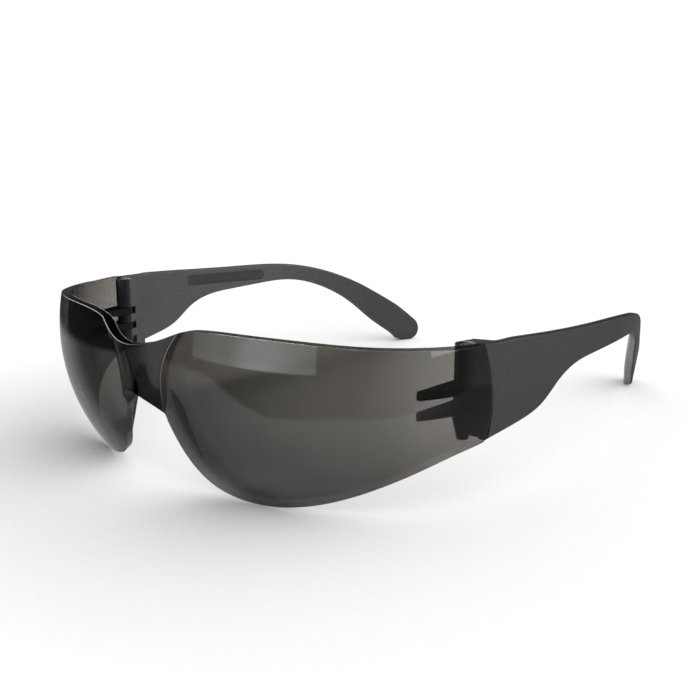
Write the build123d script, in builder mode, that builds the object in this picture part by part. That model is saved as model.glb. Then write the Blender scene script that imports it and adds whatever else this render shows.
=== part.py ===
from build123d import *
import os
from math import cos, exp, hypot, radians, sin, sqrt

# One-piece-lens safety glasses, opened and resting on a table.
# Millimetres. -Y is the front, +Z is up and +X is the wearer's left.
# The origin is on the table, under the middle of the glasses.

# ---------------------------------------------------------------- driving dimensions
# Heights are measured from the table. Distances along Y are measured from the seam, the
# plane where the temples meet the lens.

# Lens: two spherical bowls of a 9.75 base curve, joined by a bridge over the nose
BOWL_R = 54.4              # outer radius of each bowl
LENS_T = 2.2               # wall of the bowls
BOWL_X = 17.5              # centre of each bowl's sphere, from the middle plane
BOWL_Y = 7.8
BOWL_Z = 30.6
BRIDGE_Y = -49.6           # front of the bridge
BRIDGE_T = 2.4
FLANGE_T = 1.8             # lips that rest on the sides of the nose
LIP_START = 0.6            # depth inside the wall where a lip begins
CREASE_X = 7.4             # half width of the bridge where it is narrowest
CREASE_TOP_X = 15.3        # half width of the bridge at its top corners
CREASE_Z = 25.0            # the bridge widens above this height
CREASE_TOP_Z = 41.6
END_Z = 28.5               # middle height of the lens ends and of the temple fronts
END_TOP = (-2.8, 39.5)     # profile of the lens ends, seen from the side
END_MIDDLE = (-1.0, END_Z)
END_BOTTOM = (-0.5, 15.9)

# Temples
SEAM_GAP = 0.15            # free gap between the lens end and the temple
TEMPLE_X = 73.1            # outer face of the straight run, from the middle plane
FLARE_END = 32.0           # the front swings in ahead of this distance behind the seam
FLARE_R = 256.0
BEND_Y = 73.0              # middle of the bend behind the ear
BEND_W = 15.0              # how gradual the bend is
TUCK = 0.36                # inward slope of the tip
BOW_FADE = 39.0            # length over which the rounded front turns flat
LEAN = 0.11                # inward lean of the hook, per mm of drop
LEAN_START = 76.0
LEAN_RUN = 25.0
TEMPLE_TOP_Z = 38.0
TEMPLE_T = 2.4             # wall at the front
TIP_T = 3.2                # wall at the tip
TIP_Y = 123.0              # centre of the round tip
TIP_R = 4.72               # lower radius of the round tip
TEMPLE_FILLET = 0.7
PANEL_DEPTH = 0.3          # blank sunk panel on the inner face
PANEL_Y = 44.0
PANEL_Z = 33.2
PANEL_SLOPE = -3.0
PANEL_LENGTH = 36.0
PANEL_HEIGHT = 3.6

# Hinges: three temple knuckles around two lens lugs
HINGE_X = 64.9
HINGE_Y = -3.3
KNUCKLE_R = 2.4
PIN_R = 0.8
PIN_RUNNING_GAP = 0.05
PIN_HEAD_R = 1.3
PIN_HEAD_H = 0.8
PIN_HEAD_FILLET = 0.3
PIN_HEAD_GAP = 0.1         # free gap around the head, and how far it sits below the barrel's top
PIN_END_GAP = 0.2          # how far the pin stops short of either end of the barrel
LUG_H = 2.0
RIB_START_Y = -17.4        # blunt front end of the ribs that carry the lugs
RIB_START_X = 61.9
LOWER_LUG_Z = 23.35
UPPER_LUG_Z = 28.15
LUG_GAP = 0.1              # free gap above and below each lug
HINGE_BOTTOM_Z = 16.3
TAPER_Z = 20.8             # below this height the barrel narrows
TAPER_ANGLE = 13.0
KNUCKLE_OUTER = 1.9        # each knuckle's reach outward from the pin, where its web begins
ROOT_INNER_X = 63.2        # hinge root: the block that joins the knuckles to the arm
ROOT_OUTER_X = 66.8        # stays clear of the lens end
ROOT_FRONT_Y = -0.5        # clears the round ends of the lugs
ROOT_STEP_Y = 2.6          # the root widens into the arm's wall behind the lens end
ROOT_REAR_Y = 6.0
HINGE_TOP_Z = 39.1

# The origin is half way between the front of the bridge and the ends of the temples
SEAM_Y = -(BRIDGE_Y + TIP_Y + TIP_R) / 2

FRONT = Plane.XZ
SIDE = Plane(origin=(0, SEAM_Y, 0), x_dir=(0, 1, 0), z_dir=(1, 0, 0))


def level(height):
    """A horizontal sketch plane whose Y is measured from the seam."""
    return Plane(origin=(0, SEAM_Y, height))


# ---------------------------------------------------------------- lens
def bowl_front_y(x, z):
    """Distance from the seam to the outer face of the +X bowl."""
    return BOWL_Y - sqrt(BOWL_R**2 - (x - BOWL_X) ** 2 - (z - BOWL_Z) ** 2)


def crease_x(z):
    """Half width of the bridge at height z."""
    rise = max(0.0, z - CREASE_Z) / (CREASE_TOP_Z - CREASE_Z)
    return CREASE_X + (CREASE_TOP_X - CREASE_X) * rise**2


def bridge_face():
    """Front face of the bridge: bulges forward between the two creases."""
    rows = []
    for z in range(15, 46, 3):
        half = crease_x(z)
        depth = bowl_front_y(half, z) - BRIDGE_Y
        row = []
        for step in range(-7, 8):
            u = 0.15 * step
            row.append(Vector(u * half, SEAM_Y + BRIDGE_Y + depth * u**2, z))
        rows.append(row)
    return Face.make_surface_from_array_of_points(rows)


def bowl_point(angle, z, scale):
    """Point on the +X bowl, turned outward by angle from straight ahead, scaled about its centre."""
    ring = sqrt(BOWL_R**2 - (z - BOWL_Z) ** 2) * scale
    x = BOWL_X + ring * sin(radians(angle))
    y = SEAM_Y + BOWL_Y - ring * cos(radians(angle))
    return (x, y, BOWL_Z + (z - BOWL_Z) * scale)


def bowl_rim():
    """Face square to the bowl along its lower edge, its nose edge and the hidden edge in the bridge."""
    # angle from straight ahead, and height
    rim = (
        (94, 18.9), (82.8, 15.9), (71.8, 14.0), (61.8, 10.9), (51.7, 7.3), (41, 3.8), (31.5, 1.5),
        (23.1, 0.3), (15, 0.02), (7, 0.8), (0.4, 2.8), (-3.9, 6.2), (-8, 13.2), (-10, 17.5),
        (-12, 22.3), (-11.4, 30), (-8, 37), (-3.5, 42), (-0.5, 46),
    )
    inner = Spline([bowl_point(angle, z, 0.9) for angle, z in rim])
    outer = Spline([bowl_point(angle, z, 1.1) for angle, z in rim])
    return Face.make_surface_from_curves(inner, outer)


def nose_lip():
    """Face that carries the nose edge of the +X bowl back toward the wearer."""
    # angle from straight ahead, height, and reach behind the outer surface
    edge = (
        (-12.4, 27.5, 1.3), (-12.2, 25, 2.8), (-11.6, 22, 3.9), (-9.7, 17.5, 4.1), (-7.7, 13.2, 3.5),
        (-5.3, 9, 2.7), (-3.4, 6, 1.9), (-1, 3.8, 1.2),
    )
    front = Spline([bowl_point(angle, z, 1 - LIP_START / BOWL_R) for angle, z, reach in edge])
    rear = Spline([bowl_point(angle, z, 1 - reach / BOWL_R) for angle, z, reach in edge])
    return Face.make_surface_from_curves(front, rear)


with BuildPart() as bowl:
    with Locations((BOWL_X, SEAM_Y + BOWL_Y, BOWL_Z)):
        Sphere(BOWL_R)
        Sphere(BOWL_R - LENS_T, mode=Mode.SUBTRACT)
    with BuildSketch(SIDE) as end_outline:
        with BuildLine():
            end = ThreePointArc(END_TOP, END_MIDDLE, END_BOTTOM)
            Polyline(end @ 1, (END_BOTTOM[0], -10), (-60, -10), (-60, 45), (END_TOP[0], 45), end @ 0)
        make_face()
    extrude(amount=100, mode=Mode.INTERSECT)
    split(bisect_by=bowl_rim(), keep=Keep.ALL)

with BuildPart() as lens:
    add(bowl.part.solids().sort_by(SortBy.VOLUME)[-1])
    mirror(about=Plane.YZ)
    thicken(bridge_face(), amount=BRIDGE_T, normal_override=(0, 1, 0))

    # brow line along the top and arch over the nose, seen from the front
    with BuildSketch(FRONT) as front_outline:
        with BuildLine():
            brow = Spline(
                (0, 36.9), (5, 37.5), (10, 38.9), (15.5, 41.2), (21, 42.2), (31, 42.5),
                (44, 42.0), (56, 40.8), (66, 39.7), (75, 39.4),
                tangents=((1, 0), (1, 0)),
            )
            arch = Spline((0, 25.3), (4, 23.8), (8, 18.6), tangents=((1, 0), (0.4, -1)))
            Polyline(arch @ 1, (8, -10), (75, -10), brow @ 1)
            mirror(about=Plane.YZ)
        make_face()
    extrude(amount=200, both=True, mode=Mode.INTERSECT)

    # nose flanges: lips that run back from the nose edge of each bowl and fade out at both ends
    flange = thicken(nose_lip(), amount=FLANGE_T, normal_override=(1, 0, 0))
    mirror(flange, about=Plane.YZ)

    # two lugs at each end: tapered ribs on the inner wall that carry the hinge pin
    for height in (LOWER_LUG_Z, UPPER_LUG_Z):
        with BuildSketch(level(height)) as lug:
            with BuildLine():
                wall = ThreePointArc((RIB_START_X + 2, RIB_START_Y), (67.3, -10), (69.2, HINGE_Y))
                Polyline(wall @ 1, (HINGE_X, HINGE_Y + KNUCKLE_R), (HINGE_X, HINGE_Y))
                Polyline(
                    (HINGE_X, HINGE_Y), (HINGE_X - KNUCKLE_R, HINGE_Y), (RIB_START_X, RIB_START_Y), wall @ 0,
                )
            make_face()
            with Locations((HINGE_X, HINGE_Y)):
                Circle(KNUCKLE_R)
                Circle(PIN_R + PIN_RUNNING_GAP, mode=Mode.SUBTRACT)
        lug_plate = extrude(amount=LUG_H)
        mirror(lug_plate, about=Plane.YZ)


# ---------------------------------------------------------------- temples
def ramp(y):
    """0 ahead of the hook, rising to 1 behind the ear."""
    return min(max((y - LEAN_START) / LEAN_RUN, 0.0), 1.0)


def temple_outer_x(y, z):
    """Outer face of the +X temple at a distance y behind the seam."""
    flare = max(0.0, FLARE_END - y) ** 2 / (2 * FLARE_R)
    tuck = TUCK * (hypot(y - BEND_Y, BEND_W) + y - BEND_Y) / 2
    bow = (z - END_Z) ** 2 / (2 * BOWL_R) * exp(-max(y, 0.0) / BOW_FADE)
    lean = LEAN * (TEMPLE_TOP_Z - z) * ramp(y)
    return TEMPLE_X - flare - tuck - bow - lean


def temple_wall_t(y):
    """Wall of the temple, thicker at the hook."""
    return TEMPLE_T + (TIP_T - TEMPLE_T) * ramp(y)


def temple_layer(outer_share, inner_share):
    """The temple's curved wall between two shares of its thickness, 0 outside and 1 inside."""
    with BuildPart() as layer:
        for y in (-4, 8, 18, 30, 44, 58, 72, 84, 96, 110, 122, 134):
            outer = [(temple_outer_x(y, z) - outer_share * temple_wall_t(y), z) for z in (-4, 20, 44)]
            inner = [(temple_outer_x(y, z) - inner_share * temple_wall_t(y), z) for z in (-4, 20, 44)]
            with BuildSketch(FRONT.offset(-SEAM_Y - y)):
                with BuildLine():
                    ThreePointArc(*outer)
                    Line(outer[2], inner[2])
                    ThreePointArc(*inner)
                    Line(inner[0], outer[0])
                make_face()
        loft()
    return layer.part


with BuildPart() as left_temple:
    add(temple_layer(0.0, 1.0))

    # side outline: straight arm, narrowing behind the hinge, and the ear hook
    with BuildSketch(SIDE):
        with BuildLine():
            front = ThreePointArc(*[(y + SEAM_GAP, z) for y, z in (END_TOP, END_MIDDLE, END_BOTTOM)])
            under = Spline(
                front @ 1, (13.5, 18.4), (21, 20.7), (27.5, 24.8), (35, 27.6), (46, 28.6), (62, 29),
                (76, 28.6), (89, 24.6), (100, 17.5), (110, 8.2), (117.5, 2.1), (TIP_Y, 0),
                tangents=((1, 0.22), (1, 0)),
            )
            tip = CenterArc((TIP_Y, TIP_R), TIP_R, start_angle=-90, arc_size=135)
            top = Spline(
                tip @ 1, (120, 14), (112, 19.5), (104, 24.5), (94, 29.4), (82, 33.3), (70, 35.2),
                (50, 36.5), (26, 38), (8, 39.2), front @ 0,
                tangents=((-1, 1), (-1, 0.05)),
            )
        make_face()
    extrude(amount=200, mode=Mode.INTERSECT)
    rims = left_temple.edges().filter_by(lambda e: e.length > 5 and e.center().Y > SEAM_Y + 3)
    fillet(rims, radius=TEMPLE_FILLET)

    # blank sunk panel on the inner face
    with BuildSketch(SIDE) as panel_outline:
        with Locations(Location((PANEL_Y, PANEL_Z), PANEL_SLOPE)):
            SlotOverall(PANEL_LENGTH, PANEL_HEIGHT)
    panel = extrude(amount=100, mode=Mode.PRIVATE) & temple_layer(1 - PANEL_DEPTH / TEMPLE_T, 1.2)
    add(panel, mode=Mode.SUBTRACT)

    # hinge root: a block inside the front of the arm, behind the knuckles
    with BuildSketch(level(HINGE_BOTTOM_Z)) as root:
        with BuildLine():
            Polyline(
                (ROOT_INNER_X, ROOT_FRONT_Y), (ROOT_OUTER_X, ROOT_FRONT_Y), (ROOT_OUTER_X, ROOT_STEP_Y),
                (69.3, ROOT_STEP_Y), (69.9, ROOT_REAR_Y), (ROOT_INNER_X, ROOT_STEP_Y), close=True,
            )
        make_face()
    root_block = extrude(amount=HINGE_TOP_Z - HINGE_BOTTOM_Z, mode=Mode.PRIVATE)
    with BuildSketch(SIDE, mode=Mode.PRIVATE) as root_side:
        Polygon(
            (-2, HINGE_BOTTOM_Z), (2, HINGE_BOTTOM_Z), (7, 17.8), (7, 38.7), (-2, HINGE_TOP_Z),
            align=None,
        )
    add(root_block & extrude(root_side.sketch, amount=100, mode=Mode.PRIVATE))

    # knuckles above, between and below the lugs
    for low, high in (
        (TAPER_Z, LOWER_LUG_Z - LUG_GAP),
        (LOWER_LUG_Z + LUG_H + LUG_GAP, UPPER_LUG_Z - LUG_GAP),
        (UPPER_LUG_Z + LUG_H + LUG_GAP, HINGE_TOP_Z),
    ):
        with BuildSketch(level(low)):
            with Locations((HINGE_X, HINGE_Y)):
                Circle(KNUCKLE_R)
            Polygon(
                (HINGE_X - KNUCKLE_R, HINGE_Y), (HINGE_X + KNUCKLE_OUTER, HINGE_Y), (ROOT_OUTER_X, 0),
                (ROOT_INNER_X, 0), align=None,
            )
        extrude(amount=high - low)
    # the barrel narrows downward to clear the lens, which curves inward there
    with BuildSketch(level(TAPER_Z)):
        with Locations((HINGE_X, HINGE_Y)):
            Circle(KNUCKLE_R)
    extrude(amount=HINGE_BOTTOM_Z - TAPER_Z, taper=TAPER_ANGLE)
    with BuildSketch(level(HINGE_TOP_Z)):
        with Locations((HINGE_X, HINGE_Y)):
            Circle(PIN_R)
    extrude(amount=HINGE_BOTTOM_Z - HINGE_TOP_Z, mode=Mode.SUBTRACT)
    with BuildSketch(level(HINGE_TOP_Z)):
        with Locations((HINGE_X, HINGE_Y)):
            Circle(PIN_HEAD_R + PIN_HEAD_GAP)
    extrude(amount=-PIN_HEAD_H, mode=Mode.SUBTRACT)

with BuildPart() as right_temple:
    mirror(left_temple.part, about=Plane.YZ)


# ---------------------------------------------------------------- hinge pins
with BuildPart() as left_hinge_pin:
    with BuildSketch(level(HINGE_BOTTOM_Z + PIN_END_GAP)):
        with Locations((HINGE_X, HINGE_Y)):
            Circle(PIN_R)
    extrude(amount=HINGE_TOP_Z - HINGE_BOTTOM_Z - 2 * PIN_END_GAP)
    with BuildSketch(level(HINGE_TOP_Z - PIN_HEAD_H)):
        with Locations((HINGE_X, HINGE_Y)):
            Circle(PIN_HEAD_R)
    extrude(amount=PIN_HEAD_H - PIN_HEAD_GAP)
    head_rim = left_hinge_pin.edges().filter_by(GeomType.CIRCLE).sort_by(Axis.Z)[-1]
    fillet(head_rim, radius=PIN_HEAD_FILLET)

with BuildPart() as right_hinge_pin:
    mirror(left_hinge_pin.part, about=Plane.YZ)

# ---------------------------------------------------------------- one STEP file per piece
os.makedirs("parts", exist_ok=True)

lens.part.label = "lens"
export_step(lens.part, "parts/lens.step")

left_temple.part.label = "left_temple"
export_step(left_temple.part, "parts/left_temple.step")

right_temple.part.label = "right_temple"
export_step(right_temple.part, "parts/right_temple.step")

left_hinge_pin.part.label = "left_hinge_pin"
export_step(left_hinge_pin.part, "parts/left_hinge_pin.step")

right_hinge_pin.part.label = "right_hinge_pin"
export_step(right_hinge_pin.part, "parts/right_hinge_pin.step")
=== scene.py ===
from math import cos, radians, sin

import bmesh
import bpy
from mathutils import Matrix, Vector


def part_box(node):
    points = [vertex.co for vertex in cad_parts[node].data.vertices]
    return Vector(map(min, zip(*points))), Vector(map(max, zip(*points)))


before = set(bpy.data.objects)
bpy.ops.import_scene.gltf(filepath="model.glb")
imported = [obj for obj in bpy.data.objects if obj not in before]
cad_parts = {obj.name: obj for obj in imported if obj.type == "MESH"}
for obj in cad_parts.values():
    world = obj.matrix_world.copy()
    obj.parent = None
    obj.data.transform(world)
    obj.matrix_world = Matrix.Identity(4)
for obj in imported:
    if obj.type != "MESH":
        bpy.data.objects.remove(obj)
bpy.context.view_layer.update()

MM = 0.001

# ---------------------------------------------------------------- places taken from the frame
# The seam is where the lens ends and the temples begin, this far behind the lens's front
LENS_LENGTH = 49.6 * MM
SEAM_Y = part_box("lens")[0].y + LENS_LENGTH

# The lens walls are two spherical bowls, one on each side
BOWL_R = 54.4 * MM
BOWL_WALL = 2.2 * MM
BOWL_X = 17.5 * MM
BOWL_Y = SEAM_Y + 7.8 * MM
BOWL_Z = 30.6 * MM

# Hinge axis, and the sunk panel on the inner face of each temple
HINGE_X = 64.9 * MM
HINGE_Y = SEAM_Y - 3.3 * MM
PANEL_Y = SEAM_Y + 44 * MM
PANEL_Z = 33.2 * MM
PANEL_HALF_LENGTH = 17 * MM
PANEL_HALF_HEIGHT = 1.75 * MM
PANEL_SLOPE = 0.052

# Refractive index of polycarbonate
LENS_INDEX = 1.58


# ---------------------------------------------------------------- node helpers
class Nodes:
    """A node tree, with short calls for the nodes this scene uses."""

    def __init__(self, tree, output):
        self.tree = tree
        self.tree.nodes.clear()
        self.output = self.add(output)

    def add(self, kind, **settings):
        node = self.tree.nodes.new(kind)
        for key, value in settings.items():
            setattr(node, key, value)
        return node

    def put(self, socket, value):
        if isinstance(value, bpy.types.NodeSocket):
            self.tree.links.new(value, socket)
        else:
            socket.default_value = value

    def set(self, node, **inputs):
        for key, value in inputs.items():
            self.put(node.inputs[key.replace("_", " ")], value)
        return node

    def math(self, operation, *values, clamp=False):
        node = self.add("ShaderNodeMath", operation=operation, use_clamp=clamp)
        for socket, value in zip(node.inputs, values):
            self.put(socket, value)
        return node.outputs[0]

    def vector(self, operation, first, second):
        node = self.add("ShaderNodeVectorMath", operation=operation)
        self.put(node.inputs[0], first)
        self.put(node.inputs[1], second)
        return node.outputs["Value"] if operation in ("DISTANCE", "DOT_PRODUCT") else node.outputs[0]

    def step(self, value, low, high, low_out=0.0, high_out=1.0):
        """Smooth change from low_out to high_out as value goes from low to high."""
        node = self.add("ShaderNodeMapRange", interpolation_type="SMOOTHSTEP")
        self.set(node, Value=value, From_Min=low, From_Max=high, To_Min=low_out, To_Max=high_out)
        return node.outputs["Result"]

    def window(self, value, rise_start, rise_end, fall_start, fall_end):
        """One between rise_end and fall_start, with smooth sides, and zero outside."""
        rise = self.step(value, rise_start, rise_end)
        return self.times(rise, self.step(value, fall_start, fall_end, 1.0, 0.0))

    def times(self, first, second):
        return self.math("MULTIPLY", first, second)

    def minus(self, first, second):
        return self.math("SUBTRACT", first, second)

    def split(self, vector):
        """The x, y and z of a vector."""
        return self.set(self.add("ShaderNodeSeparateXYZ"), Vector=vector).outputs

    def join(self, x, y, z):
        return self.set(self.add("ShaderNodeCombineXYZ"), X=x, Y=y, Z=z).outputs[0]

    def range(self, value, low, high):
        """Number from low to high as value goes from 0 to 1."""
        node = self.set(self.add("ShaderNodeMapRange"), Value=value, To_Min=low, To_Max=high)
        return node.outputs["Result"]

    def blend(self, share, first, second):
        """Number between first and second."""
        node = self.add("ShaderNodeMix", data_type="FLOAT")
        for socket, value in zip(node.inputs[:1] + node.inputs[2:4], (share, first, second)):
            self.put(socket, value)
        return node.outputs[0]

    def noise(self, where, scale, detail=2.0, roughness=0.5):
        node = self.set(
            self.add("ShaderNodeTexNoise"), Vector=where, Scale=scale, Detail=detail, Roughness=roughness,
        )
        return node.outputs["Fac"]

    def mix_shader(self, share, first, second):
        node = self.add("ShaderNodeMixShader")
        self.put(node.inputs[0], share)
        self.put(node.inputs[1], first)
        self.put(node.inputs[2], second)
        return node.outputs[0]


def new_material(name):
    material = bpy.data.materials.new(name)
    material.use_nodes = True
    return material, Nodes(material.node_tree, "ShaderNodeOutputMaterial")


# ---------------------------------------------------------------- materials
def temple_shade(n, where):
    """How much lighter or darker each place of a temple is, from its grain and sunk panel and from painted
    light and shade. Also returns the mask of the hinge barrel.
    """
    x, y, z = n.split(where)
    facing = n.split(n.add("ShaderNodeTexCoord").outputs["Normal"])
    half_x = n.math("ABSOLUTE", x)
    inner = n.step(n.times(n.math("SIGN", x), facing["X"]), 0.3, -0.3)

    # the barrel of the hinge is smooth, and carries painted shade that makes it darker
    before_root = n.step(y, SEAM_Y - 1.8 * MM, SEAM_Y - 3.2 * MM)
    barrel = n.times(before_root, n.step(half_x, 67.6 * MM, 67.2 * MM))

    # the sunk panel is darker and has no mottle
    along = n.minus(y, PANEL_Y)
    up = n.math("ADD", n.minus(z, PANEL_Z), n.times(along, PANEL_SLOPE))
    in_length = n.step(n.math("ABSOLUTE", along), PANEL_HALF_LENGTH + 0.5 * MM, PANEL_HALF_LENGTH - 0.5 * MM)
    in_height = n.step(n.math("ABSOLUTE", up), PANEL_HALF_HEIGHT + 0.15 * MM, PANEL_HALF_HEIGHT - 0.15 * MM)
    panel = n.times(n.times(in_length, in_height), inner)
    mottle = n.range(n.noise(where, 1300.0, 2.0, 0.6), 0.55, 1.45)
    # painted shade on the barrel, the darker sunk panel, and the mottle of the grain elsewhere
    shade = n.times(n.blend(barrel, 1.0, 0.25), n.blend(panel, mottle, 0.5))

    # painted light: the inner face is paler and both faces darken toward the tip, standing in for more light
    # on the inner faces and near the front
    outer_painted_light = n.step(y, SEAM_Y, SEAM_Y + 105 * MM, 1.5, 0.85)
    inner_painted_light = n.step(y, SEAM_Y + 60 * MM, SEAM_Y + 110 * MM, 2.9, 1.4)
    shade = n.times(shade, n.blend(inner, outer_painted_light, inner_painted_light))

    # painted shade makes the top edge darker, apart from a painted glint: a pale ring on the barrel around
    # the pin
    in_front = n.step(y, SEAM_Y + 70 * MM, SEAM_Y + 90 * MM, 1.0, 0.0)
    upward = n.times(n.step(facing["Z"], 0.6, 0.85), in_front)
    shade = n.times(shade, n.blend(upward, 1.0, 0.3))
    # painted glint on the barrel's top around the pin
    from_pin = n.vector("DISTANCE", n.join(half_x, y, 0.0), (HINGE_X, HINGE_Y, 0.0))
    pin_glint = n.step(n.math("ABSOLUTE", n.minus(from_pin, 1.8 * MM)), 0.6 * MM, 0.3 * MM)
    shade = n.times(shade, n.blend(n.times(pin_glint, upward), 1.0, 9.0))

    # painted shade in the joint behind the lens: a dark band that curves along a parabola in z
    above = n.minus(z, 28.5 * MM)
    slope = n.math("MULTIPLY_ADD", above, -5.25, -0.106)
    behind = n.minus(y, n.math("MULTIPLY_ADD", slope, above, SEAM_Y - 1.0 * MM))
    joint = n.step(behind, 0.5 * MM, 1.1 * MM, 0.12, 1.0)
    shade = n.times(shade, n.blend(inner, joint, 1.0))

    # painted highlight: the forward-facing edge of the left hook is paler
    hook_highlight = n.times(n.step(y, SEAM_Y + 78 * MM, SEAM_Y + 90 * MM), n.step(facing["Y"], -0.35, -0.6))
    hook_highlight = n.times(hook_highlight, n.math("GREATER_THAN", x, 0.0))
    return n.times(shade, n.blend(hook_highlight, 1.0, 4.6)), barrel


def temple_material():
    """Black plastic with a fine grain."""
    material, n = new_material("temple_plastic")
    where = n.add("ShaderNodeTexCoord").outputs["Object"]
    grain = n.noise(where, 4200.0, 3.0, 0.6)
    broad = n.noise(where, 60.0)
    colour = n.add("ShaderNodeValToRGB")
    n.put(colour.inputs["Fac"], grain)
    dark, light = colour.color_ramp.elements
    dark.position = 0.35
    dark.color = (0.015, 0.015, 0.0155, 1)
    light.position = 0.7
    light.color = (0.024, 0.024, 0.0245, 1)
    bump = n.set(n.add("ShaderNodeBump"), Height=grain, Strength=0.12, Distance=0.06 * MM)

    shade, barrel = temple_shade(n, where)
    tone = n.vector("MULTIPLY", colour.outputs["Color"], n.join(shade, shade, shade))
    shader = n.set(
        n.add("ShaderNodeBsdfPrincipled"),
        Base_Color=tone,
        Roughness=n.blend(barrel, n.range(broad, 0.40, 0.50), 0.16),
        Normal=bump.outputs["Normal"],
        IOR=1.5,
        Specular_IOR_Level=n.math("MINIMUM", n.times(shade, 0.5), 0.6),
    )
    n.put(n.output.inputs["Surface"], shader.outputs["BSDF"])
    return material


def lens_material():
    """Smoke-tinted clear plastic: darker in the bridge, nearly black in the ribs and lugs."""
    material, n = new_material("smoke_polycarbonate")
    geometry = n.add("ShaderNodeNewGeometry")
    x, y, z = n.split(n.add("ShaderNodeTexCoord").outputs["Object"])
    half_x = n.math("ABSOLUTE", x)
    place = n.join(half_x, y, z)
    from_centre = n.vector("DISTANCE", place, (BOWL_X, BOWL_Y, BOWL_Z))

    # where the surface belongs to the ribs and lugs, to the nose lips or to the bridge
    behind_wall = n.math("LESS_THAN", from_centre, BOWL_R - BOWL_WALL - 0.12 * MM)
    rib = n.times(behind_wall, n.math("GREATER_THAN", y, SEAM_Y - 22 * MM))
    lip = n.minus(behind_wall, rib)
    rise = n.math("DIVIDE", n.minus(z, 25.0 * MM), 16.6 * MM, clamp=True)
    crease = n.math("MULTIPLY_ADD", n.times(rise, rise), 7.9 * MM, 7.4 * MM)
    off_crease = n.math("ABSOLUTE", n.minus(half_x, crease))
    bridge = n.math("LESS_THAN", half_x, crease)

    # tint: light crosses more plastic where it enters at a slant; toward the sides the tint is painted
    # lighter to show more light through the lens, though the wall keeps one thickness
    tilt = n.vector("DOT_PRODUCT", geometry.outputs["Incoming"], geometry.outputs["Normal"])
    sine_squared = n.minus(1.0, n.times(tilt, tilt))
    slant = n.math("SQRT", n.minus(1.0, n.math("DIVIDE", sine_squared, LENS_INDEX**2)))
    painted_side_light = n.step(half_x, 54 * MM, 71 * MM, 1.0, 0.66)
    depth = n.math("DIVIDE", n.blend(bridge, n.blend(lip, painted_side_light, 1.25), 1.6), slant)
    tint = n.set(
        n.add("ShaderNodeCombineColor"),
        Red=n.math("POWER", 0.232, depth),
        Green=n.math("POWER", 0.224, depth),
        Blue=n.math("POWER", 0.213, depth),
    )
    clear = n.set(n.add("ShaderNodeBsdfTransparent"), Color=tint.outputs[0])

    # reflection, with fine marks and rounded edges; the reflection is painted weaker in the creases and on
    # most of the bridge, and painted stronger at the bridge's end on the wearer's left
    marks = n.noise(place, 900.0, 4.0)
    rounded = n.set(n.add("ShaderNodeBevel", samples=4), Radius=0.22 * MM).outputs[0]
    gloss = n.set(
        n.add("ShaderNodeBsdfGlossy"),
        Color=(1, 1, 1, 1),
        Roughness=n.range(marks, 0.008, 0.03),
        Normal=rounded,
    )
    index = n.blend(geometry.outputs["Backfacing"], LENS_INDEX, 1 / LENS_INDEX)
    fresnel = n.set(n.add("ShaderNodeFresnel"), IOR=index, Normal=rounded).outputs[0]
    strength = n.blend(bridge, 1.0, n.step(x, 3 * MM, 8 * MM, 0.3, 1.25))
    strength = n.times(strength, n.step(off_crease, 0.15 * MM, 0.5 * MM, 0.5, 1.0))
    smoke = n.mix_shader(n.times(fresnel, strength), clear.outputs[0], gloss.outputs[0])

    # painted highlight: a pale line along the creases, stronger toward the top and on the wearer's left
    crease_highlight = n.times(n.step(off_crease, 0.2 * MM, 0.06 * MM), n.step(z, 18 * MM, 36 * MM, 0.02, 0.12))
    crease_highlight = n.times(crease_highlight, n.step(x, -1 * MM, 1 * MM, 0.35, 1.0))
    crease_highlight = n.times(crease_highlight, n.math("GREATER_THAN", from_centre, BOWL_R - 0.3 * MM))

    # painted highlight: a pale top edge, most of all beside the bridge
    bent = n.minus(1.0, n.vector("DOT_PRODUCT", rounded, geometry.outputs["Normal"]))
    brow_highlight = n.times(n.step(bent, 0.015, 0.10), n.step(z, 34 * MM, 36 * MM))
    from_brightest = n.math("ABSOLUTE", n.math("ADD", x, 18 * MM))
    brow_highlight = n.times(brow_highlight, n.step(from_brightest, 12 * MM, 26 * MM, 0.7, 0.05))
    # grey diffuse that carries the painted highlights
    highlight_paint = n.set(n.add("ShaderNodeBsdfDiffuse"), Color=(0.5, 0.5, 0.5, 1))
    smoke = n.mix_shader(n.math("MAXIMUM", crease_highlight, brow_highlight), smoke, highlight_paint.outputs[0])

    black = n.set(
        n.add("ShaderNodeBsdfPrincipled"),
        Base_Color=(0.003, 0.003, 0.003, 1),
        Roughness=0.25,
        IOR=1.35,
    )
    n.put(n.output.inputs["Surface"], n.mix_shader(rib, smoke, black.outputs[0]))
    return material


def steel_material():
    """Satin steel with small marks."""
    material, n = new_material("pin_steel")
    where = n.add("ShaderNodeTexCoord").outputs["Object"]
    marks = n.noise(where, 1500.0)
    shader = n.set(
        n.add("ShaderNodeBsdfPrincipled"),
        Base_Color=(0.62, 0.62, 0.63, 1),
        Metallic=1.0,
        Roughness=n.range(marks, 0.2, 0.38),
    )
    n.put(n.output.inputs["Surface"], shader.outputs["BSDF"])
    return material


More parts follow.
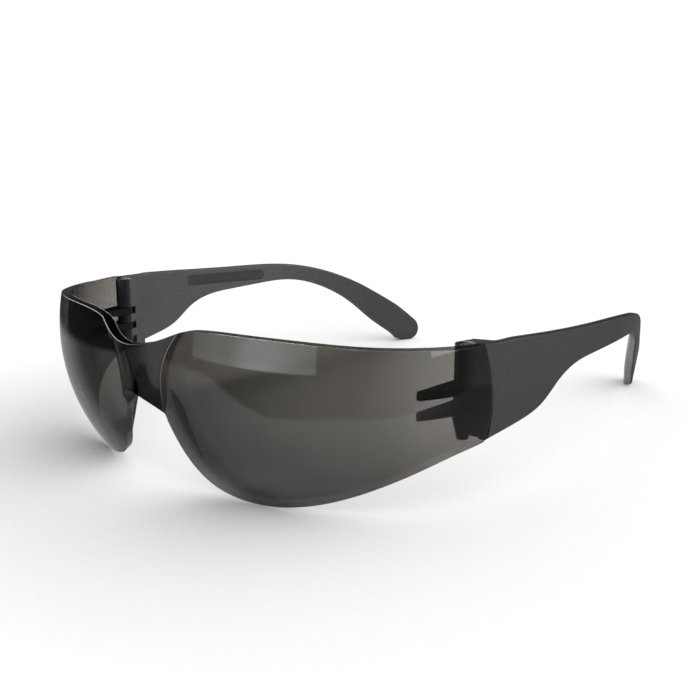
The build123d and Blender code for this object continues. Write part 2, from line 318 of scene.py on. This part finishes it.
def floor_material():
    """Pale paper. Behind the lens it is lit, with painted contact shade in its colour; seen directly it is
    near white with painted soft shadows.
    """
    material, n = new_material("studio_floor")
    paper = n.noise(n.add("ShaderNodeTexCoord").outputs["Object"], 300.0, 3.0)
    # painted contact shade: occlusion darkens the floor's colour near the glasses
    painted_contact_shade = n.set(n.add("ShaderNodeAmbientOcclusion", samples=8), Distance=16 * MM).outputs["AO"]
    pale = n.times(n.math("POWER", painted_contact_shade, 1.7), 0.85)
    matte = n.set(n.add("ShaderNodeBsdfDiffuse"), Color=n.join(pale, pale, pale))
    sheen = n.set(
        n.add("ShaderNodeBsdfGlossy"),
        Color=(1, 1, 1, 1),
        Roughness=n.range(paper, 0.12, 0.2),
    )
    lit = n.mix_shader(0.04, matte.outputs[0], sheen.outputs[0])

    # painted soft shadows from occlusion, leaning toward the front and the wearer's right
    open_sky = n.set(
        n.add("ShaderNodeAmbientOcclusion", samples=12),
        Distance=70 * MM,
        Normal=n.join(0.35, 0.35, 0.87),
    )
    glow = n.times(open_sky.outputs["AO"], n.range(paper, 1.02, 1.05))
    white = n.set(n.add("ShaderNodeEmission"), Color=(1, 1, 1, 1), Strength=glow)
    path = n.add("ShaderNodeLightPath")
    direct = n.math("LESS_THAN", path.outputs["Transparent Depth"], 0.5)
    direct = n.times(direct, path.outputs["Is Camera Ray"])
    n.put(n.output.inputs["Surface"], n.mix_shader(direct, lit, white.outputs[0]))
    return material


def paint(node, material):
    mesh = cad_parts[node].data
    mesh.materials.clear()
    mesh.materials.append(material)


temple_plastic = temple_material()
steel = steel_material()
paint("lens", lens_material())
for side in ("left", "right"):
    paint(side + "_temple", temple_plastic)
    paint(side + "_hinge_pin", steel)


# ---------------------------------------------------------------- studio
def add_floor():
    mesh = bpy.data.meshes.new("floor")
    build = bmesh.new()
    bmesh.ops.create_grid(build, x_segments=8, y_segments=8, size=3.0)
    build.to_mesh(mesh)
    build.free()
    floor = bpy.data.objects.new("floor", mesh)
    floor.visible_glossy = False
    mesh.materials.append(floor_material())
    bpy.context.scene.collection.objects.link(floor)


def add_area(name, place, target, width, height, power):
    light = bpy.data.lights.new(name, "AREA")
    light.shape = "RECTANGLE"
    light.size = width
    light.size_y = height
    light.energy = power
    lamp = bpy.data.objects.new(name, light)
    lamp.location = place
    lamp.rotation_euler = (Vector(target) - Vector(place)).to_track_quat("-Z", "Y").to_euler()
    lamp.visible_glossy = False
    bpy.context.scene.collection.objects.link(lamp)


def room_level(n, turn, lift):
    """Brightness that reflections see: a dim room, and below its edge the pale table.

    turn is the compass direction from straight ahead of the lens and lift the height, in degrees.
    """
    # the table's edge dips toward the camera
    dip = n.times(n.step(turn, -40.0, 5.0), n.step(turn, 60.0, 125.0, 1.0, 0.3))
    over_edge = n.minus(lift, n.math("MULTIPLY_ADD", dip, -18.0, -11.0))
    room = n.step(n.math("MULTIPLY_ADD", lift, -0.7, turn), 54.0, 72.0, 0.04, 0.17)
    room = n.math("ADD", room, n.step(turn, 106.0, 120.0, 0.0, 0.22))
    table = n.blend(n.window(turn, -85.0, -68.0, -60.0, -46.0), 0.45, 0.24)
    table = n.math("MULTIPLY_ADD", n.window(turn, -45.0, -25.0, 60.0, 90.0), 0.15, table)
    table = n.times(table, n.step(turn, 85.0, 115.0, 1.0, 0.55))
    return n.blend(n.step(over_edge, -1.5, 1.5), table, room)


def add_world():
    """White dome. Reflections see a soft box ahead, a dim room and the pale table instead."""
    world = bpy.data.worlds.new("studio")
    bpy.context.scene.world = world
    world.use_nodes = True
    n = Nodes(world.node_tree, "ShaderNodeOutputWorld")
    x, y, z = n.split(n.add("ShaderNodeTexCoord").outputs["Generated"])
    turn = n.math("DEGREES", n.math("ARCTAN2", x, n.times(y, -1.0)))
    lift = n.math("DEGREES", n.math("ARCSINE", z))
    level = room_level(n, turn, lift)

    # lamp overhead, which only upper edges catch
    overhead = n.window(lift, 44.0, 50.0, 78.0, 84.0)
    ahead = n.window(turn, -138.0, -128.0, 128.0, 138.0)
    level = n.blend(n.times(overhead, ahead), level, 9.0)

    # soft box, brightest to the left of its middle
    soft_box = n.times(n.window(turn, -43.5, -42.5, 28.0, 29.0), n.window(lift, -6.0, -5.0, 30.0, 32.0))
    glow = n.times(n.step(turn, -21.0, -6.0, 0.9, 2.1), n.step(turn, 0.0, 28.0, 1.0, 0.5))
    glow = n.times(glow, n.step(turn, -43.0, -24.0, 0.6, 1.0))
    glow = n.times(glow, n.step(lift, -0.5, -4.0, 1.0, 1.2))
    level = n.blend(soft_box, level, glow)

    # small window on the wearer's left
    pane = n.times(n.window(turn, 88.0, 89.0, 104.0, 105.0), n.window(lift, -1.0, 0.0, 12.0, 13.0))
    level = n.blend(pane, level, 2.2)

    path = n.add("ShaderNodeLightPath")
    level = n.blend(path.outputs["Is Glossy Ray"], 1.4, level)
    shine = n.set(n.add("ShaderNodeBackground"), Color=(1, 1, 1, 1), Strength=level)
    n.put(n.output.inputs["Surface"], shine.outputs[0])


add_floor()
add_world()
add_area("key", place=(-0.42, -0.55, 0.50), target=(0, 0, 0), width=0.3, height=0.25, power=13.0)


# ---------------------------------------------------------------- camera
CAMERA_AZIMUTH = 40.97
CAMERA_ELEVATION = 13.99
CAMERA_ROLL = 0.21
CAMERA_DISTANCE = 283 * MM
CAMERA_LENS = 47.87
CAMERA_AIM = Vector((0, SEAM_Y + 31.4 * MM, 20.3 * MM))

camera_data = bpy.data.cameras.new("camera")
camera_data.sensor_width = 36
camera_data.lens = CAMERA_LENS
camera_data.clip_start = 0.01
camera = bpy.data.objects.new("camera", camera_data)
azimuth = radians(CAMERA_AZIMUTH)
elevation = radians(CAMERA_ELEVATION)
back = Vector((sin(azimuth) * cos(elevation), -cos(azimuth) * cos(elevation), sin(elevation)))
camera.location = CAMERA_AIM + back * CAMERA_DISTANCE
unrolled = (-back).to_track_quat("-Z", "Y").to_matrix().to_4x4()
camera.rotation_euler = (unrolled @ Matrix.Rotation(radians(CAMERA_ROLL), 4, "Z")).to_euler()
bpy.context.scene.collection.objects.link(camera)
bpy.context.scene.camera = camera
bpy.context.scene.view_settings.view_transform = "Standard"
